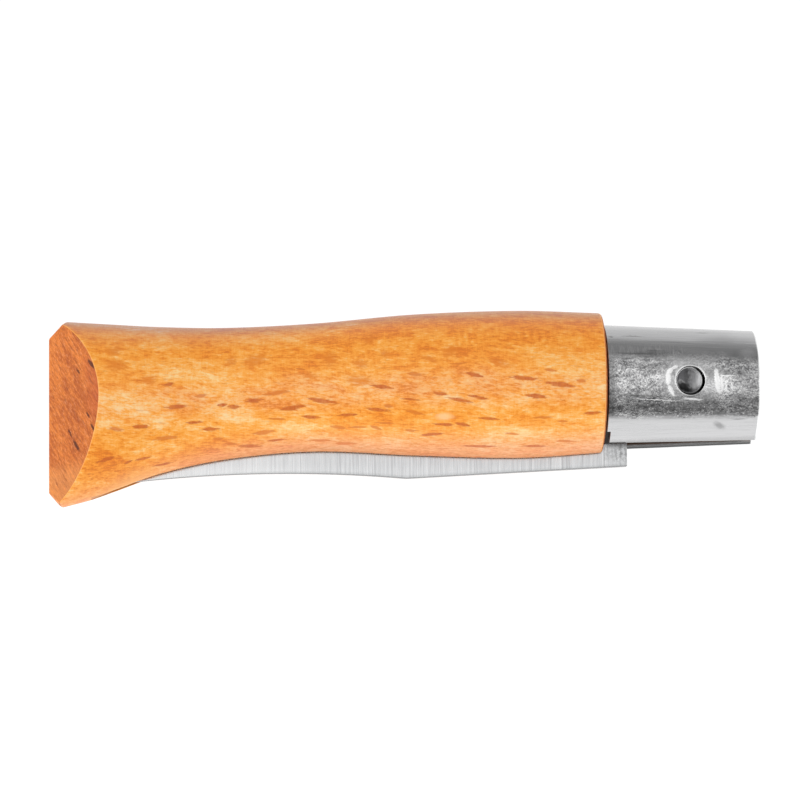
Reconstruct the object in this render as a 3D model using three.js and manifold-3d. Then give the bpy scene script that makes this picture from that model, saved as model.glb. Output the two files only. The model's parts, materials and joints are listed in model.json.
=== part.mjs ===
// A folding whittling knife, closed. A one-piece beech handle is turned down to a neck at one end.
// A tapered steel collar, slit along its belly, is pushed over the neck up to the wood's shoulder.
// The blade folds into a sawn slot and turns on one steel rivet through collar, neck and tang.
//
// Units are millimetres. The knife is built round the middle of its rivet: X runs from the butt
// towards the collar's front rim, Y from the belly (the slot side) to the back, Z across the handle.
// At the end it is moved to lie on its side, with the origin under the middle of its box.
import * as THREE from 'three';
import { mergeVertices } from 'three/addons/utils/BufferGeometryUtils.js';
import Module from 'manifold-3d';

// ---- driving dimensions
const handleLength = 62.52; // butt ridge to the wood's shoulder
const collarLength = 17.18;
const rimToPivot = 7.55; // the collar's front rim to the rivet's axis
const collarRearRadius = 7.15; // outside
const collarFrontRadius = 6.5; // outside
const collarWall = 0.5;
const collarSlit = 3.8; // width of the slit along the collar's belly
const lipNotchLength = 0.4; // relief at the rear corner of each lip
const lipNotchHeight = 1.3;
const rimBevel = 0.08; // broken edges of the collar's two rims

const bladeThickness = 1.3; // at the spine
const tipThickness = 0.55; // at the spine, by the point
const edgeThickness = 0.12;
const tipSetback = 7.8; // the butt ridge to the blade's point
const shoulderReach = 6.99; // the rivet's axis to the step at the blade's spine
const tangRadius = 3.7;
const tangDepth = 3.7; // the rivet's axis to the tang's edge on the spine side
const spineAtShoulder = 8.97; // below the rivet's axis, closed
const spineAtClip = 10.35;
const clipShare = 0.435; // where the clip starts, as a share of the way from shoulder to point
const clipHollow = 1.4; // height of the clip's control point above its start
const pointDrop = 0.6; // the point lies this far past the spine's lowest line
const ricasso = 2.1; // unground stretch in front of the step
const grindRun = 2.2; // length over which the grind comes in

const rivetRadius = 1.6;
const rivetHeadRadius = 1.66;
const rivetHeadHeight = 0.28;
const rivetSink = 0.19; // the head's rim lies this far under the collar's crown
const dishRadius = 1.42;
const dishDepth = 0.42;

const slotFloor = 4.0; // the slot's floor above the rivet's axis
const sawRadius = 25; // the slot runs out in an arc of the saw
const slotPastPoint = 3.0; // the slot's mouth goes on this far past the blade's point
const neckRecess = 0.4; // the neck's end lies this far behind the collar's front rim

const ridgeFlat = 0.4; // width of the narrow flat between the two butt facets
const facetDepth = 5.6; // along the handle, from the ridge to the arc on the handle's side
const backCorner = { along: 2.05, down: 1.95 }; // corner cut off the butt at the back
const bellyCorner = { along: 1.55, down: 1.6 }; // and at the belly
const shoulderBevel = 0.25; // broken edge of the wood's shoulder

const bladeClearance = 0.3; // between the blade and each wall of its slot
const fitGap = 0.06; // between pieces that are pressed or riveted together
const shoulderGap = 0.3; // between the wood's shoulder and the collar

// The handle's sections. `share` is the place along the handle, from the butt to the shoulder. `back`
// and `belly` are heights over and under the rivet's axis, `widest` is the height of the thickest line,
// `half` is half the thickness, and `fullness` is the curve's exponent: 2 is an ellipse, less is leaner.
const buttSection = { share: 0, back: 7.62, belly: 14.0, widest: -1.7, half: 6.6, fullness: 1.8 };
const flareSection = { share: 0.1, back: 7.26, belly: 12.3, widest: -1.4, half: 6.5, fullness: 1.82 };
const taperSection = { share: 0.2, back: 6.93, belly: 10.05, widest: -0.9, half: 6.3, fullness: 1.88 };
const waistSection = { share: 0.32, back: 6.83, belly: 8.4, widest: -0.5, half: 6.2, fullness: 1.93 };
const riseSection = { share: 0.48, back: 7.33, belly: 7.48, widest: -0.1, half: 6.65, fullness: 1.97 };
const palmSection = { share: 0.66, back: 8.36, belly: 7.93, widest: 0.15, half: 7.4, fullness: 2 };
const gripSection = { share: 0.85, back: 8.79, belly: 8.2, widest: 0.3, half: 7.9, fullness: 2 };
const shoulderSection = { share: 1, back: 8.52, belly: 7.6, widest: 0.4, half: 7.72, fullness: 2 };

// The cutting edge's height over the rivet's axis, closed, at shares of the way from ricasso to point.
const edgeAtHeel = { share: 0, height: 2.4 };
const edgeAtCrest = { share: 0.3, height: 2.75 };
const edgeAtBelly = { share: 0.6, height: 1.5 };
const edgeAtSweep = { share: 0.8, height: -2.3 };
const edgeAtRise = { share: 0.92, height: -6.5 };
const edgeAtPoint = { share: 1, height: -10.6 };

const handleRings = 38;
const handleSides = 36;
const collarSides = 72;
const bladeRings = 30;
const holeSides = 40;

// ---- places that follow from them
const collarRear = rimToPivot - collarLength;
const shoulderX = collarRear - shoulderGap;
const buttX = shoulderX - handleLength;
const neckEnd = rimToPivot - neckRecess;
const pointX = buttX + tipSetback;
const spineLength = -shoulderReach - pointX;
const clipX = -shoulderReach - clipShare * spineLength;
const ricassoX = -shoulderReach - ricasso;
const slotWidth = bladeThickness + 2 * bladeClearance;
const beyond = 10; // how far the cutting tools run past what they cut
const handleSections = [
  buttSection,
  flareSection,
  taperSection,
  waistSection,
  riseSection,
  palmSection,
  gripSection,
  shoulderSection,
];
const edgeHeights = [edgeAtHeel, edgeAtCrest, edgeAtBelly, edgeAtSweep, edgeAtRise, edgeAtPoint];

const wasm = await Module();
wasm.setup();

// A closed geometry as a solid that can be joined and cut.
function solid(geometry) {
  const bare = geometry.clone();
  bare.deleteAttribute('normal');
  bare.deleteAttribute('uv');
  const merged = mergeVertices(bare, 1e-4);
  return new wasm.Manifold(
    new wasm.Mesh({
      numProp: 3,
      vertProperties: new Float32Array(merged.attributes.position.array),
      triVerts: new Uint32Array(merged.index.array),
    }),
  );
}

function geometryOf(made) {
  const mesh = made.getMesh();
  const geometry = new THREE.BufferGeometry();
  geometry.setAttribute('position', new THREE.BufferAttribute(new Float32Array(mesh.vertProperties), 3));
  geometry.setIndex(new THREE.BufferAttribute(new Uint32Array(mesh.triVerts), 1));
  const flat = geometry.toNonIndexed();
  flat.computeVertexNormals();
  return flat;
}

// The value of `key` at a share of the way, on a smooth curve through every section.
function along(sections, key, share) {
  let i = 0;
  while (i < sections.length - 2 && share > sections[i + 1].share) i += 1;
  const slopeAt = (k) => {
    const before = sections[Math.max(k - 1, 0)];
    const after = sections[Math.min(k + 1, sections.length - 1)];
    return (after[key] - before[key]) / (after.share - before.share);
  };
  const [from, to] = [sections[i], sections[i + 1]];
  const run = to.share - from.share;
  const t = (share - from.share) / run;
  const [t2, t3] = [t * t, t * t * t];
  return (
    (2 * t3 - 3 * t2 + 1) * from[key] +
    (t3 - 2 * t2 + t) * run * slopeAt(i) +
    (3 * t2 - 2 * t3) * to[key] +
    (t3 - t2) * run * slopeAt(i + 1)
  );
}

// A closed skin through rings of points. Rings follow each other along +X, and each runs from +Y to +Z.
function loft(rings) {
  const sides = rings[0].length;
  const corners = [];
  for (let i = 0; i < rings.length - 1; i += 1) {
    for (let j = 0; j < sides; j += 1) {
      const [a, b] = [rings[i][j], rings[i][(j + 1) % sides]];
      const [d, c] = [rings[i + 1][j], rings[i + 1][(j + 1) % sides]];
      corners.push(a, b, c, a, c, d);
    }
  }
  const [first, last] = [rings[0], rings[rings.length - 1]];
  for (const [ring, facesBack] of [[first, true], [last, false]]) {
    const middle = new THREE.Vector3();
    ring.forEach((p) => middle.addScaledVector(p, 1 / sides));
    for (let j = 0; j < sides; j += 1) {
      const [p, q] = [ring[j], ring[(j + 1) % sides]];
      corners.push(middle, ...(facesBack ? [q, p] : [p, q]));
    }
  }
  return new THREE.BufferGeometry().setFromPoints(corners);
}

// An outline in the XY plane, extruded to both sides of Z = 0.
function plate(outline, thickness, curveSegments = 24) {
  const geometry = new THREE.ExtrudeGeometry(outline, {
    depth: thickness,
    bevelEnabled: false,
    curveSegments,
  });
  return geometry.translate(0, 0, -thickness / 2);
}

function polygon(points) {
  return new THREE.Shape(points.map(([x, y]) => new THREE.Vector2(x, y)));
}

// A round bar along the rivet's axis.
function crossBar(radius, length) {
  return new THREE.CylinderGeometry(radius, radius, length, holeSides).rotateX(Math.PI / 2);
}

// A profile of [x, radius] corners, turned about the collar's axis.
function turned(profile) {
  const points = profile.map(([x, radius]) => new THREE.Vector2(radius, x));
  return new THREE.LatheGeometry(points, collarSides, 0, 2 * Math.PI).rotateZ(-Math.PI / 2);
}

function collarOutside(x) {
  const share = (x - collarRear) / collarLength;
  return collarRearRadius + share * (collarFrontRadius - collarRearRadius);
}

const collarInside = (x) => collarOutside(x) - collarWall;

// ---- handle
function handleRing(share, x, inset) {
  const at = (key) => along(handleSections, key, share);
  const [back, belly, half] = ['back', 'belly', 'half'].map((key) => at(key) - inset);
  const [widest, power] = [at('widest'), 2 / at('fullness')];
  return Array.from({ length: handleSides }, (_, j) => {
    const angle = ((j + 0.5) / handleSides) * 2 * Math.PI;
    const [up, out] = [Math.cos(angle), Math.sin(angle)];
    const reach = up > 0 ? back - widest : belly + widest;
    return new THREE.Vector3(
      x,
      widest + Math.sign(up) * reach * Math.abs(up) ** power,
      Math.sign(out) * half * Math.abs(out) ** power,
    );
  });
}

function handleBody() {
  const rings = [];
  for (let i = 0; i < handleRings; i += 1) {
    const share = (i / (handleRings - 1)) * (1 - shoulderBevel / handleLength);
    rings.push(handleRing(share, buttX + share * handleLength, 0));
  }
  rings.push(handleRing(1, shoulderX, shoulderBevel));
  return solid(loft(rings));
}

// The neck is turned to the inside of the collar, and starts a little inside the grip.
function neck() {
  const rear = shoulderX - 1;
  const profile = [
    [rear, 0],
    [rear, collarInside(rear) - fitGap],
    [neckEnd, collarInside(neckEnd) - fitGap],
    [neckEnd, 0],
  ];
  return solid(turned(profile));
}

// The blade's slot is sawn from the belly, with a flat floor that runs out in the saw's arc.
function slotTool() {
  const mouthX = pointX - slotPastPoint;
  const mouthDepth = along(handleSections, 'belly', (mouthX - buttX) / handleLength);
  const drop = slotFloor + mouthDepth;
  const run = Math.sqrt(sawRadius ** 2 - (sawRadius - drop) ** 2);
  const sawX = mouthX + run;
  const sawY = slotFloor - sawRadius;
  const outline = new THREE.Shape();
  outline.moveTo(neckEnd + beyond, slotFloor);
  outline.lineTo(sawX, slotFloor);
  outline.absarc(sawX, sawY, sawRadius, Math.PI / 2, Math.PI, false);
  outline.lineTo(neckEnd + beyond, sawY);
  return solid(plate(outline, slotWidth));
}

// Two flat facets meet at the butt's ridge like a roof.
function facetTool(side) {
  const slope = facetDepth / (buttSection.half - ridgeFlat / 2);
  const outline = polygon([
    [buttX, ridgeFlat / 2],
    [buttX + slope * beyond, ridgeFlat / 2 + beyond],
    [buttX - beyond, ridgeFlat / 2 + beyond],
    [buttX - beyond, ridgeFlat / 2],
  ]);
  const tool = solid(plate(outline, 6 * beyond).rotateX(Math.PI / 2));
  return side > 0 ? tool : tool.mirror([0, 0, 1]);
}

function cornerTool(corner, edge, up) {
  const outline = polygon([
    [buttX + corner.along, up * edge],
    [buttX, up * (edge - corner.down)],
    [buttX - beyond, up * (edge - corner.down - (beyond * corner.down) / corner.along)],
    [buttX - beyond, up * (edge + beyond)],
    [buttX + corner.along + (beyond * corner.along) / corner.down, up * (edge + beyond)],
  ]);
  return solid(plate(outline, 4 * beyond));
}

function handle() {
  const heightAt = (key, distance) => along(handleSections, key, distance / handleLength);
  const made = handleBody()
    .add(neck())
    .subtract(slotTool())
    .subtract(facetTool(1))
    .subtract(facetTool(-1))
    .subtract(cornerTool(backCorner, heightAt('back', backCorner.along), 1))
    .subtract(cornerTool(bellyCorner, heightAt('belly', bellyCorner.along), -1))
    .subtract(solid(crossBar(rivetRadius + fitGap, 4 * beyond)));
  return geometryOf(made);
}

// ---- collar
function collarShell() {
  const profile = [
    [collarRear, collarInside(collarRear) + rimBevel],
    [collarRear + rimBevel, collarInside(collarRear + rimBevel)],
    [rimToPivot - rimBevel, collarInside(rimToPivot - rimBevel)],
    [rimToPivot, collarInside(rimToPivot) + rimBevel],
    [rimToPivot, collarFrontRadius - rimBevel],
    [rimToPivot - rimBevel, collarOutside(rimToPivot - rimBevel)],
    [collarRear + rimBevel, collarOutside(collarRear + rimBevel)],
    [collarRear, collarRearRadius - rimBevel],
  ];
  return solid(turned([...profile, profile[0]].reverse()));
}

function boxBetween(low, high) {
  const size = high.map((v, k) => v - low[k]);
  const box = new THREE.BoxGeometry(...size);
  return solid(box.translate(...low.map((v, k) => v + size[k] / 2)));
}

function collar() {
  const slit = boxBetween(
    [collarRear - beyond, -collarRearRadius - beyond, -collarSlit / 2],
    [rimToPivot + beyond, 0, collarSlit / 2],
  );
  const lipBottom = Math.sqrt(collarRearRadius ** 2 - (collarSlit / 2) ** 2);
  const notches = boxBetween(
    [collarRear - beyond, -collarRearRadius - beyond, -collarRearRadius],
    [collarRear + lipNotchLength, lipNotchHeight - lipBottom, collarRearRadius],
  );
  const made = collarShell()
    .subtract(slit)
    .subtract(notches)
    .subtract(solid(crossBar(rivetHeadRadius + fitGap, 4 * beyond)));
  return geometryOf(made);
}

// ---- blade
function spineHeight(x) {
  if (x > clipX) {
    const share = (-shoulderReach - x) / (-shoulderReach - clipX);
    return -(spineAtShoulder + share * (spineAtClip - spineAtShoulder));
  }
  const t = (clipX - x) / (clipX - pointX);
  return -spineAtClip + 2 * t * (1 - t) * clipHollow - t * t * pointDrop;
}

function bladeRing(x) {
  const spine = spineHeight(x);
  const edge = along(edgeHeights, 'height', Math.max((ricassoX - x) / (ricassoX - pointX), 0));
  const out = (-shoulderReach - x) / spineLength;
  const half = (bladeThickness + out * (tipThickness - bladeThickness)) / 2;
  const grind = THREE.MathUtils.smoothstep(ricassoX - x, 0, grindRun);
  const thinning = [1, 0.72, 0.4, 0]; // half thickness left at each height from the spine, fully ground
  const face = [0, 0.45, 0.75, 1].map((height, k) => {
    const ground = edgeThickness / 2 + thinning[k] * (half - edgeThickness / 2);
    return [spine + height * (edge - spine), THREE.MathUtils.lerp(half, ground, grind)];
  });
  const near = face.toReversed().map(([y, z]) => new THREE.Vector3(x, y, z));
  const far = face.map(([y, z]) => new THREE.Vector3(x, y, -z));
  return [...near, ...far];
}

function groundBlade() {
  const stations = [pointX, clipX, ricassoX, ricassoX - grindRun / 2, -shoulderReach];
  for (let i = 1; i < bladeRings; i += 1) {
    stations.push(pointX + (i / bladeRings) * (ricassoX - grindRun - pointX));
  }
  return solid(loft(stations.sort((a, b) => a - b).map(bladeRing)));
}

function tang() {
  const heel = edgeAtHeel.height;
  const root = ricassoX + ricasso / 4;
  const outline = new THREE.Shape();
  outline.moveTo(root, heel);
  outline.lineTo(root, -tangDepth);
  outline.lineTo(0, -tangDepth);
  outline.absarc(0, 0, tangRadius, -Math.PI / 2, Math.PI / 2, false);
  return solid(plate(outline, bladeThickness));
}

function blade() {
  const made = groundBlade()
    .add(tang())
    .subtract(solid(crossBar(rivetRadius + fitGap, 4 * beyond)));
  return geometryOf(made);
}

// ---- rivet
// Its ends are peened out into the collar's holes and left dished.
function rivet() {
  const crown = collarOutside(0);
  const rim = crown - rivetSink;
  const half = [
    [0, rim - dishDepth],
    [dishRadius * 0.55, rim - dishDepth * 0.8],
    [dishRadius * 0.88, rim - dishDepth * 0.35],
    [dishRadius, rim],
    [rivetHeadRadius - 0.06, rim],
    [rivetHeadRadius, rim - 0.06],
    [rivetHeadRadius, rim - rivetHeadHeight],
    [rivetRadius, rim - rivetHeadHeight],
  ];
  const upper = half.map(([radius, z]) => new THREE.Vector2(radius, z));
  const lower = half.map(([radius, z]) => new THREE.Vector2(radius, -z)).reverse();
  return new THREE.LatheGeometry([...upper, ...lower].reverse(), holeSides).rotateX(Math.PI / 2);
}

// ---- assembly
function piece(name, geometry, color, roughness, metalness) {
  const material = new THREE.MeshStandardMaterial({ color, roughness, metalness });
  const mesh = new THREE.Mesh(geometry, material);
  mesh.name = name;
  return mesh;
}

const knife = new THREE.Group();
knife.add(
  piece('handle', handle(), 0xe8a050, 0.45, 0),
  piece('collar', collar(), 0xb8b8ba, 0.28, 1),
  piece('blade', blade(), 0xcfd0d1, 0.32, 1),
  piece('pivot_rivet', rivet(), 0xa8a8aa, 0.3, 1),
);

const box = new THREE.Box3().setFromObject(knife);
const middle = box.getCenter(new THREE.Vector3());
knife.position.set(-middle.x, -middle.y, -box.min.z);

export default knife;
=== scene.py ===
import json
import math
import random

import bmesh
import bpy
from mathutils import Matrix, Vector, noise


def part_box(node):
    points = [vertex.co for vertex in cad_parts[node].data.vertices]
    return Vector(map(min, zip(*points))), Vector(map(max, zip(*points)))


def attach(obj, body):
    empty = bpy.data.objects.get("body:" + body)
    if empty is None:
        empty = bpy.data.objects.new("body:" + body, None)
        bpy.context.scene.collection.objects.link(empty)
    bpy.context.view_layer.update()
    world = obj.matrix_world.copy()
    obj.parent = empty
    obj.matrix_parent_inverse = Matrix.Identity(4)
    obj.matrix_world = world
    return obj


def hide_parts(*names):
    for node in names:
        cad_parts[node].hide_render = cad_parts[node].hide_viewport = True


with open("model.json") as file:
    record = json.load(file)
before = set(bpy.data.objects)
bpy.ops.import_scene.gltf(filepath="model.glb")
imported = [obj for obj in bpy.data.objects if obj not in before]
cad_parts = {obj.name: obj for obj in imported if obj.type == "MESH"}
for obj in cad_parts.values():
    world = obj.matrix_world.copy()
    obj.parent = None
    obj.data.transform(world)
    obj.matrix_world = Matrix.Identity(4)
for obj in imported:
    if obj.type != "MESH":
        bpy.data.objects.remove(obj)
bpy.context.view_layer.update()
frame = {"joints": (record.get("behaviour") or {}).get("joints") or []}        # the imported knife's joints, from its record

scene = bpy.context.scene
hinge = next(joint for joint in frame["joints"] if joint["name"] == "blade_pivot")
pivot = Vector(hinge["pos_m"])
mm = 0.001
weld = 0.0005            # millimetres: points nearer than this become one

# Every piece is modelled in millimetres round the rivet's middle: X from the butt to the collar's rim,
# Y from the belly, where the slot is, to the back, and Z across the handle. placePiece() moves it into
# the frame.


def cadSide(node, corner):        # the X of a CAD node's low or high side
    return (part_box(node)[corner].x - pivot.x) / mm


buttX = cadSide("handle", 0)
neckEnd = cadSide("handle", 1)
collarRear = cadSide("collar", 0)
rimX = cadSide("collar", 1)
pointX = cadSide("blade", 0)
tangEnd = cadSide("blade", 1)
shoulderX = collarRear - 0.2


# Small tools for lines, rings and curves

def between(a, b, t):
    return a + (b - a) * t


def eased(value, low, high):      # 0 at low, 1 at high, with a soft start and stop
    t = min(max((value - low) / (high - low), 0.0), 1.0)
    return t * t * (3 - 2 * t)


def evenSteps(start, stop, size):
    count = max(round((stop - start) / size), 1)
    return [between(start, stop, i / count) for i in range(count)]


def throughRows(rows, place):     # a smooth curve through rows that each start with their place
    i = 0
    while i < len(rows) - 2 and place > rows[i + 1][0]:
        i += 1

    def slopes(k):
        before, after = rows[max(k - 1, 0)], rows[min(k + 1, len(rows) - 1)]
        return [(b - a) / (after[0] - before[0]) for a, b in zip(before[1:], after[1:])]

    start, stop = rows[i], rows[i + 1]
    run = stop[0] - start[0]
    t = (place - start[0]) / run
    weights = (2 * t**3 - 3 * t**2 + 1, (t**3 - 2 * t**2 + t) * run,
               3 * t**2 - 2 * t**3, (t**3 - t**2) * run)
    columns = zip(start[1:], slopes(i), stop[1:], slopes(i + 1))
    return [sum(w * value for w, value in zip(weights, column)) for column in columns]


def drawLine(mesh, points):       # a chain of vertices, extruded from point to point
    chain = list(bmesh.ops.create_vert(mesh, co=points[0])["vert"])
    for point in points[1:]:
        fresh = bmesh.ops.extrude_vert_indiv(mesh, verts=chain[-1:])["verts"][0]
        fresh.co = point
        chain.append(fresh)
    return chain


def sweepLine(mesh, chain, points, closed=False):        # the chain's edges, extruded to new points
    follow = chain[1:] + chain[:1] if closed else chain[1:]
    edges = [mesh.edges.get(pair) for pair in zip(chain, follow)]
    made = bmesh.ops.extrude_edge_only(mesh, edges=edges)["geom"]
    fresh = {part for part in made if isinstance(part, bmesh.types.BMVert)}
    swept = [next(e.other_vert(v) for e in v.link_edges if e.other_vert(v) in fresh) for v in chain]
    for vert, point in zip(swept, points):
        vert.co = point
    return swept


def closeLoop(mesh, chain):       # one face inside a chain, whose two ends are joined
    joined = bmesh.ops.contextual_create(mesh, geom=[chain[0], chain[-1]])["edges"]
    edges = [mesh.edges.get(pair) for pair in zip(chain, chain[1:])]
    bmesh.ops.contextual_create(mesh, geom=edges + joined)
    return joined


def mirrorAcross(mesh, axis):
    bmesh.ops.remove_doubles(mesh, verts=mesh.verts, dist=weld)
    bmesh.ops.dissolve_degenerate(mesh, edges=mesh.edges, dist=weld)
    everything = mesh.verts[:] + mesh.edges[:] + mesh.faces[:]
    bmesh.ops.mirror(mesh, geom=everything, matrix=Matrix.Identity(4), merge_dist=weld, axis=axis)
    bmesh.ops.remove_doubles(mesh, verts=mesh.verts, dist=weld)
    bmesh.ops.recalc_face_normals(mesh, faces=mesh.faces)


def softenEdges(mesh, edges, width, segments=3):
    bmesh.ops.bevel(mesh, geom=edges, offset=width, offset_type="OFFSET", affect="EDGES",
                    segments=segments, profile=0.5, material=-1, clamp_overlap=False)


def drillAcross(mesh, radius, depth=30, segments=64):    # a round hole along Z, in the rivet's place
    drill = bmesh.new()
    bmesh.ops.create_cone(drill, cap_ends=True, segments=segments, radius1=radius, radius2=radius,
                          depth=depth)
    solids = []
    for name, source in (("toDrill", mesh), ("drill", drill)):
        data = bpy.data.meshes.new(name)
        source.to_mesh(data)
        solids.append(bpy.data.objects.new(name, data))
        scene.collection.objects.link(solids[-1])
    cut = solids[0].modifiers.new("hole", "BOOLEAN")
    cut.operation, cut.object, cut.solver = "DIFFERENCE", solids[1], "EXACT"
    drilled = solids[0].evaluated_get(bpy.context.evaluated_depsgraph_get())
    mesh.clear()
    mesh.from_mesh(drilled.data)
    for made in solids:
        data = made.data
        bpy.data.objects.remove(made)
        bpy.data.meshes.remove(data)
    drill.free()


def placePiece(mesh, name, body, node, finish, sharp=35):
    for face in mesh.faces:
        face.smooth = True
    for edge in mesh.edges:
        edge.smooth = edge.is_manifold and edge.calc_face_angle() < math.radians(sharp)
    bmesh.ops.scale(mesh, vec=(mm, mm, mm), verts=mesh.verts)
    bmesh.ops.translate(mesh, vec=pivot, verts=mesh.verts)
    data = bpy.data.meshes.new(name)
    mesh.to_mesh(data)
    mesh.free()
    data.materials.append(finish)
    piece = bpy.data.objects.new(name, data)
    scene.collection.objects.link(piece)
    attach(piece, body)
    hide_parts(node)
    corners = [(Vector(corner) - pivot) / mm for corner in piece.bound_box]
    low, high = ([round(value, 2) for value in corners[i]] for i in (0, 6))
    print(f"{name}: {len(data.polygons)} faces, {low} to {high}")


# Finishes: sums on sockets are written as Python, and every other node comes from Recipe.node()

def rgba(colour):                 # from three numbers, or from one for a grey
    return (*colour, 1) if isinstance(colour, tuple) else (colour, colour, colour, 1)


class Signal:
    def __init__(self, recipe, socket):
        self.recipe, self.socket = recipe, socket

    def maths(self, operation, *values):
        return self.recipe.node("ShaderNodeMath", {"operation": operation}, dict(enumerate(values)))

    def __add__(self, other):
        return self.maths("ADD", self, other)

    def __radd__(self, other):
        return self.maths("ADD", other, self)

    def __sub__(self, other):
        return self.maths("SUBTRACT", self, other)

    def __rsub__(self, other):
        return self.maths("SUBTRACT", other, self)

    def __mul__(self, other):
        return self.maths("MULTIPLY", self, other)

    def __rmul__(self, other):
        return self.maths("MULTIPLY", other, self)

    def __truediv__(self, other):
        return self.maths("DIVIDE", self, other)

    def __abs__(self):
        return self.maths("ABSOLUTE", self)


class Recipe:                     # the nodes of one material or of the world
    def __init__(self, owner):
        owner.use_nodes = True
        self.owner, self.tree = owner, owner.node_tree

    def feed(self, socket, value):
        if isinstance(value, Signal):
            self.tree.links.new(value.socket, socket)
        else:
            socket.default_value = value

    def node(self, kind, settings=None, values=None, out=0):
        made = self.tree.nodes.new(kind)
        for key, value in (settings or {}).items():
            if key == "stops":
                stops = made.color_ramp.elements
                stops.remove(stops[1])
                stops[0].position, stops[0].color = value[0]
                for place, colour in value[1:]:
                    stops.new(place).color = colour
            else:
                setattr(made, key, value)
        for key, value in (values or {}).items():
            self.feed(made.inputs[key], value)
        return Signal(self, made.outputs[out])

    def place(self):              # the point on the piece, in millimetres round the rivet's middle
        point = self.node("ShaderNodeTexCoord", out="Object")
        return self.turned(point, scale=(1 / mm, 1 / mm, 1 / mm), shift=-pivot / mm)

    def turned(self, point, scale=(1, 1, 1), turn=(0, 0, 0), shift=(0, 0, 0)):
        turn = [math.radians(angle) for angle in turn]
        values = {"Vector": point, "Location": shift, "Rotation": turn, "Scale": scale}
        return self.node("ShaderNodeMapping", {}, values)

    def axes(self, point):
        split = self.node("ShaderNodeSeparateXYZ", {}, {0: point}).socket.node
        return [Signal(self, socket) for socket in split.outputs]

    def vector(self, operation, *values, out=0):
        return self.node("ShaderNodeVectorMath", {"operation": operation}, dict(enumerate(values)), out)

    def noise(self, point, scale, detail=2.0, rough=0.5, out=0):      # one scale, or one for each axis
        if isinstance(scale, tuple):
            point, scale = self.turned(point, scale), 1.0
        values = {"Vector": point, "Scale": scale, "Detail": detail, "Roughness": rough}
        return self.node("ShaderNodeTexNoise", {}, values, out)

    def drift(self, point, scale, reach, detail=2.0):    # how far a noise moves the point
        middle = self.vector("SUBTRACT", self.noise(point, scale, detail, out="Color"), (0.5, 0.5, 0.5))
        return self.vector("MULTIPLY", middle, reach)

    def step(self, signal, low, high):       # 0 below low, 1 above high; falls where low is above high
        settings = {"interpolation_type": "SMOOTHSTEP"}
        return self.node("ShaderNodeMapRange", settings, {0: signal, 1: low, 2: high, 3: 0.0, 4: 1.0})

    def level(self, signal, low, high, start, stop):     # low..high becomes start..stop
        return self.node("ShaderNodeMapRange", {}, {0: signal, 1: low, 2: high, 3: start, 4: stop})

    def within(self, point, middle, reach):  # 0 in the middle, 1 on the rim of an oval seen along Z
        (cx, cy), (along, up) = middle, reach
        own = self.turned(point, scale=(1 / along, 1 / up, 0), shift=(-cx / along, -cy / up, 0))
        return self.vector("LENGTH", own, out=1)

    # 0 in the middle of the nearest mark, 1 at its rim; each row has a mark's place along and up, half
    # length, half width and tilt in degrees
    def marks(self, point, rows):
        nearest = 9.0
        for x, y, length, width, tilt in rows:
            values = {"Vector": point, "Location": (x, y, 0), "Rotation": (0, 0, math.radians(tilt)),
                      "Scale": (length, width, 1000)}
            own = self.node("ShaderNodeMapping", {"vector_type": "TEXTURE"}, values)
            away = self.vector("LENGTH", own, out=1)
            nearest = away.maths("MINIMUM", away, nearest)
        return nearest

    def mix(self, share, a, b, way="MIX"):
        settings = {"data_type": "RGBA", "blend_type": way}
        colours = [colour if isinstance(colour, Signal) else rgba(colour) for colour in (a, b)]
        return self.node("ShaderNodeMix", settings, {0: share, 6: colours[0], 7: colours[1]}, 2)

    def coats(self, colour, *layers):        # each layer is its share and its colour
        for share, coat in layers:
            colour = self.mix(share, colour, coat)
        return colour

    def ramp(self, signal, stops):           # colours at places from 0 to 1
        stops = [(place, rgba(colour)) for place, colour in stops]
        return self.node("ShaderNodeValToRGB", {"stops": stops}, {0: signal})

    def bump(self, height, distance, base=None):         # distance in millimetres for a height of 1
        values = {"Height": height, "Distance": distance * mm, "Strength": 1.0}
        if base:
            values["Normal"] = base
        return self.node("ShaderNodeBump", {}, values)

    def paint(self, **inputs):    # links and values of the material's own shader
        shader = self.tree.nodes["Principled BSDF"]
        for key, value in inputs.items():
            self.feed(shader.inputs[key.replace("_", " ")], value)
        return self.owner


# The handle

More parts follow.
